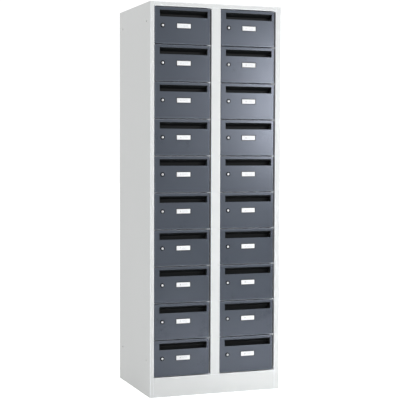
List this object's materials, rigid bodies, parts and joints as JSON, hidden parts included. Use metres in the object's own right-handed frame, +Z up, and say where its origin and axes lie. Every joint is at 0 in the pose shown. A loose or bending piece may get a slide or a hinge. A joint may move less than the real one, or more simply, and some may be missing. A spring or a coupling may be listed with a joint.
{
  "type": "letter locker cabinet",
  "caption": "Tall steel mail locker: two columns of hinged, lockable doors, each with a posting slot, a name card and its own compartment.",
  "frame": {"origin": "middle of the footprint, on the floor", "axes": "+X to the right seen from the front, +Y from the doors to the back, +Z up"},
  "size_m": [0.64, 0.5, 1.8],
  "materials": {
    "cabinet_grey": "light grey powder coat, fine texture",
    "door_anthracite": "anthracite grey powder coat, satin",
    "lock_metal": "nickel-plated zinc",
    "hinge_steel": "bright zinc-plated steel",
    "bumper_rubber": "black rubber",
    "name_card": "white card",
    "bush_plastic": "white nylon"
  },
  "bodies": {
    "cabinet": {"side_panel_left": "cabinet_grey", "side_panel_right": "cabinet_grey", "centre_post": "cabinet_grey", "centre_partition": "cabinet_grey", "roof_panel": "cabinet_grey", "back_panel": "cabinet_grey", "base_panel": "cabinet_grey", "plinth_front": "cabinet_grey", "plinth_rear": "cabinet_grey", "shelves_left": "cabinet_grey", "hinge_lugs_left": "cabinet_grey", "hinge_pins_left": "hinge_steel", "door_bumpers_left": "bumper_rubber", "shelves_right": "cabinet_grey", "hinge_lugs_right": "cabinet_grey", "hinge_pins_right": "hinge_steel", "door_bumpers_right": "bumper_rubber"},
    "door_left_01": {"door_left_01": "door_anthracite"},
    "lock_left_01": {"lock_left_01": "lock_metal"},
    "door_left_02": {"door_left_02": "door_anthracite"},
    "lock_left_02": {"lock_left_02": "lock_metal"},
    "door_left_03": {"door_left_03": "door_anthracite"},
    "lock_left_03": {"lock_left_03": "lock_metal"},
    "door_left_04": {"door_left_04": "door_anthracite"},
    "lock_left_04": {"lock_left_04": "lock_metal"},
    "door_left_05": {"door_left_05": "door_anthracite"},
    "lock_left_05": {"lock_left_05": "lock_metal"},
    "door_left_06": {"door_left_06": "door_anthracite"},
    "lock_left_06": {"lock_left_06": "lock_metal"},
    "door_left_07": {"door_left_07": "door_anthracite"},
    "lock_left_07": {"lock_left_07": "lock_metal"},
    "door_left_08": {"door_left_08": "door_anthracite"},
    "lock_left_08": {"lock_left_08": "lock_metal"},
    "door_left_09": {"door_left_09": "door_anthracite"},
    "lock_left_09": {"lock_left_09": "lock_metal"},
    "door_left_10": {"door_left_10": "door_anthracite"},
    "lock_left_10": {"lock_left_10": "lock_metal"},
    "door_right_01": {"door_right_01": "door_anthracite"},
    "lock_right_01": {"lock_right_01": "lock_metal"},
    "door_right_02": {"door_right_02": "door_anthracite"},
    "lock_right_02": {"lock_right_02": "lock_metal"},
    "door_right_03": {"door_right_03": "door_anthracite"},
    "lock_right_03": {"lock_right_03": "lock_metal"},
    "door_right_04": {"door_right_04": "door_anthracite"},
    "lock_right_04": {"lock_right_04": "lock_metal"},
    "door_right_05": {"door_right_05": "door_anthracite"},
    "lock_right_05": {"lock_right_05": "lock_metal"},
    "door_right_06": {"door_right_06": "door_anthracite"},
    "lock_right_06": {"lock_right_06": "lock_metal"},
    "door_right_07": {"door_right_07": "door_anthracite"},
    "lock_right_07": {"lock_right_07": "lock_metal"},
    "door_right_08": {"door_right_08": "door_anthracite"},
    "lock_right_08": {"lock_right_08": "lock_metal"},
    "door_right_09": {"door_right_09": "door_anthracite"},
    "lock_right_09": {"lock_right_09": "lock_metal"},
    "door_right_10": {"door_right_10": "door_anthracite"},
    "lock_right_10": {"lock_right_10": "lock_metal"}
  },
  "joints": [
    {"name": "hinge_left_01", "type": "hinge", "parent": "cabinet", "child": "door_left_01", "pos_m": [-0.04, -0.238, 1.69375], "axis": [0, 0, 1], "range_deg": [0, 105]},
    {"name": "key_turn_left_01", "type": "hinge", "parent": "door_left_01", "child": "lock_left_01", "pos_m": [-0.261, -0.2495, 1.69375], "axis": [0, 1, 0], "range_deg": [0, 90]},
    {"name": "hinge_left_02", "type": "hinge", "parent": "cabinet", "child": "door_left_02", "pos_m": [-0.04, -0.238, 1.52525], "axis": [0, 0, 1], "range_deg": [0, 105]},
    {"name": "key_turn_left_02", "type": "hinge", "parent": "door_left_02", "child": "lock_left_02", "pos_m": [-0.261, -0.2495, 1.52525], "axis": [0, 1, 0], "range_deg": [0, 90]},
    {"name": "hinge_left_03", "type": "hinge", "parent": "cabinet", "child": "door_left_03", "pos_m": [-0.04, -0.238, 1.35675], "axis": [0, 0, 1], "range_deg": [0, 105]},
    {"name": "key_turn_left_03", "type": "hinge", "parent": "door_left_03", "child": "lock_left_03", "pos_m": [-0.261, -0.2495, 1.35675], "axis": [0, 1, 0], "range_deg": [0, 90]},
    {"name": "hinge_left_04", "type": "hinge", "parent": "cabinet", "child": "door_left_04", "pos_m": [-0.04, -0.238, 1.18825], "axis": [0, 0, 1], "range_deg": [0, 105]},
    {"name": "key_turn_left_04", "type": "hinge", "parent": "door_left_04", "child": "lock_left_04", "pos_m": [-0.261, -0.2495, 1.18825], "axis": [0, 1, 0], "range_deg": [0, 90]},
    {"name": "hinge_left_05", "type": "hinge", "parent": "cabinet", "child": "door_left_05", "pos_m": [-0.04, -0.238, 1.01975], "axis": [0, 0, 1], "range_deg": [0, 105]},
    {"name": "key_turn_left_05", "type": "hinge", "parent": "door_left_05", "child": "lock_left_05", "pos_m": [-0.261, -0.2495, 1.01975], "axis": [0, 1, 0], "range_deg": [0, 90]},
    {"name": "hinge_left_06", "type": "hinge", "parent": "cabinet", "child": "door_left_06", "pos_m": [-0.04, -0.238, 0.85125], "axis": [0, 0, 1], "range_deg": [0, 105]},
    {"name": "key_turn_left_06", "type": "hinge", "parent": "door_left_06", "child": "lock_left_06", "pos_m": [-0.261, -0.2495, 0.85125], "axis": [0, 1, 0], "range_deg": [0, 90]},
    {"name": "hinge_left_07", "type": "hinge", "parent": "cabinet", "child": "door_left_07", "pos_m": [-0.04, -0.238, 0.68275], "axis": [0, 0, 1], "range_deg": [0, 105]},
    {"name": "key_turn_left_07", "type": "hinge", "parent": "door_left_07", "child": "lock_left_07", "pos_m": [-0.261, -0.2495, 0.68275], "axis": [0, 1, 0], "range_deg": [0, 90]},
    {"name": "hinge_left_08", "type": "hinge", "parent": "cabinet", "child": "door_left_08", "pos_m": [-0.04, -0.238, 0.51425], "axis": [0, 0, 1], "range_deg": [0, 105]},
    {"name": "key_turn_left_08", "type": "hinge", "parent": "door_left_08", "child": "lock_left_08", "pos_m": [-0.261, -0.2495, 0.51425], "axis": [0, 1, 0], "range_deg": [0, 90]},
    {"name": "hinge_left_09", "type": "hinge", "parent": "cabinet", "child": "door_left_09", "pos_m": [-0.04, -0.238, 0.34575], "axis": [0, 0, 1], "range_deg": [0, 105]},
    {"name": "key_turn_left_09", "type": "hinge", "parent": "door_left_09", "child": "lock_left_09", "pos_m": [-0.261, -0.2495, 0.34575], "axis": [0, 1, 0], "range_deg": [0, 90]},
    {"name": "hinge_left_10", "type": "hinge", "parent": "cabinet", "child": "door_left_10", "pos_m": [-0.04, -0.238, 0.17725], "axis": [0, 0, 1], "range_deg": [0, 105]},
    {"name": "key_turn_left_10", "type": "hinge", "parent": "door_left_10", "child": "lock_left_10", "pos_m": [-0.261, -0.2495, 0.17725], "axis": [0, 1, 0], "range_deg": [0, 90]},
    {"name": "hinge_right_01", "type": "hinge", "parent": "cabinet", "child": "door_right_01", "pos_m": [0.28, -0.238, 1.69375], "axis": [0, 0, 1], "range_deg": [0, 105]},
    {"name": "key_turn_right_01", "type": "hinge", "parent": "door_right_01", "child": "lock_right_01", "pos_m": [0.059, -0.2495, 1.69375], "axis": [0, 1, 0], "range_deg": [0, 90]},
    {"name": "hinge_right_02", "type": "hinge", "parent": "cabinet", "child": "door_right_02", "pos_m": [0.28, -0.238, 1.52525], "axis": [0, 0, 1], "range_deg": [0, 105]},
    {"name": "key_turn_right_02", "type": "hinge", "parent": "door_right_02", "child": "lock_right_02", "pos_m": [0.059, -0.2495, 1.52525], "axis": [0, 1, 0], "range_deg": [0, 90]},
    {"name": "hinge_right_03", "type": "hinge", "parent": "cabinet", "child": "door_right_03", "pos_m": [0.28, -0.238, 1.35675], "axis": [0, 0, 1], "range_deg": [0, 105]},
    {"name": "key_turn_right_03", "type": "hinge", "parent": "door_right_03", "child": "lock_right_03", "pos_m": [0.059, -0.2495, 1.35675], "axis": [0, 1, 0], "range_deg": [0, 90]},
    {"name": "hinge_right_04", "type": "hinge", "parent": "cabinet", "child": "door_right_04", "pos_m": [0.28, -0.238, 1.18825], "axis": [0, 0, 1], "range_deg": [0, 105]},
    {"name": "key_turn_right_04", "type": "hinge", "parent": "door_right_04", "child": "lock_right_04", "pos_m": [0.059, -0.2495, 1.18825], "axis": [0, 1, 0], "range_deg": [0, 90]},
    {"name": "hinge_right_05", "type": "hinge", "parent": "cabinet", "child": "door_right_05", "pos_m": [0.28, -0.238, 1.01975], "axis": [0, 0, 1], "range_deg": [0, 105]},
    {"name": "key_turn_right_05", "type": "hinge", "parent": "door_right_05", "child": "lock_right_05", "pos_m": [0.059, -0.2495, 1.01975], "axis": [0, 1, 0], "range_deg": [0, 90]},
    {"name": "hinge_right_06", "type": "hinge", "parent": "cabinet", "child": "door_right_06", "pos_m": [0.28, -0.238, 0.85125], "axis": [0, 0, 1], "range_deg": [0, 105]},
    {"name": "key_turn_right_06", "type": "hinge", "parent": "door_right_06", "child": "lock_right_06", "pos_m": [0.059, -0.2495, 0.85125], "axis": [0, 1, 0], "range_deg": [0, 90]},
    {"name": "hinge_right_07", "type": "hinge", "parent": "cabinet", "child": "door_right_07", "pos_m": [0.28, -0.238, 0.68275], "axis": [0, 0, 1], "range_deg": [0, 105]},
    {"name": "key_turn_right_07", "type": "hinge", "parent": "door_right_07", "child": "lock_right_07", "pos_m": [0.059, -0.2495, 0.68275], "axis": [0, 1, 0], "range_deg": [0, 90]},
    {"name": "hinge_right_08", "type": "hinge", "parent": "cabinet", "child": "door_right_08", "pos_m": [0.28, -0.238, 0.51425], "axis": [0, 0, 1], "range_deg": [0, 105]},
    {"name": "key_turn_right_08", "type": "hinge", "parent": "door_right_08", "child": "lock_right_08", "pos_m": [0.059, -0.2495, 0.51425], "axis": [0, 1, 0], "range_deg": [0, 90]},
    {"name": "hinge_right_09", "type": "hinge", "parent": "cabinet", "child": "door_right_09", "pos_m": [0.28, -0.238, 0.34575], "axis": [0, 0, 1], "range_deg": [0, 105]},
    {"name": "key_turn_right_09", "type": "hinge", "parent": "door_right_09", "child": "lock_right_09", "pos_m": [0.059, -0.2495, 0.34575], "axis": [0, 1, 0], "range_deg": [0, 90]},
    {"name": "hinge_right_10", "type": "hinge", "parent": "cabinet", "child": "door_right_10", "pos_m": [0.28, -0.238, 0.17725], "axis": [0, 0, 1], "range_deg": [0, 105]},
    {"name": "key_turn_right_10", "type": "hinge", "parent": "door_right_10", "child": "lock_right_10", "pos_m": [0.059, -0.2495, 0.17725], "axis": [0, 1, 0], "range_deg": [0, 90]}
  ]
}
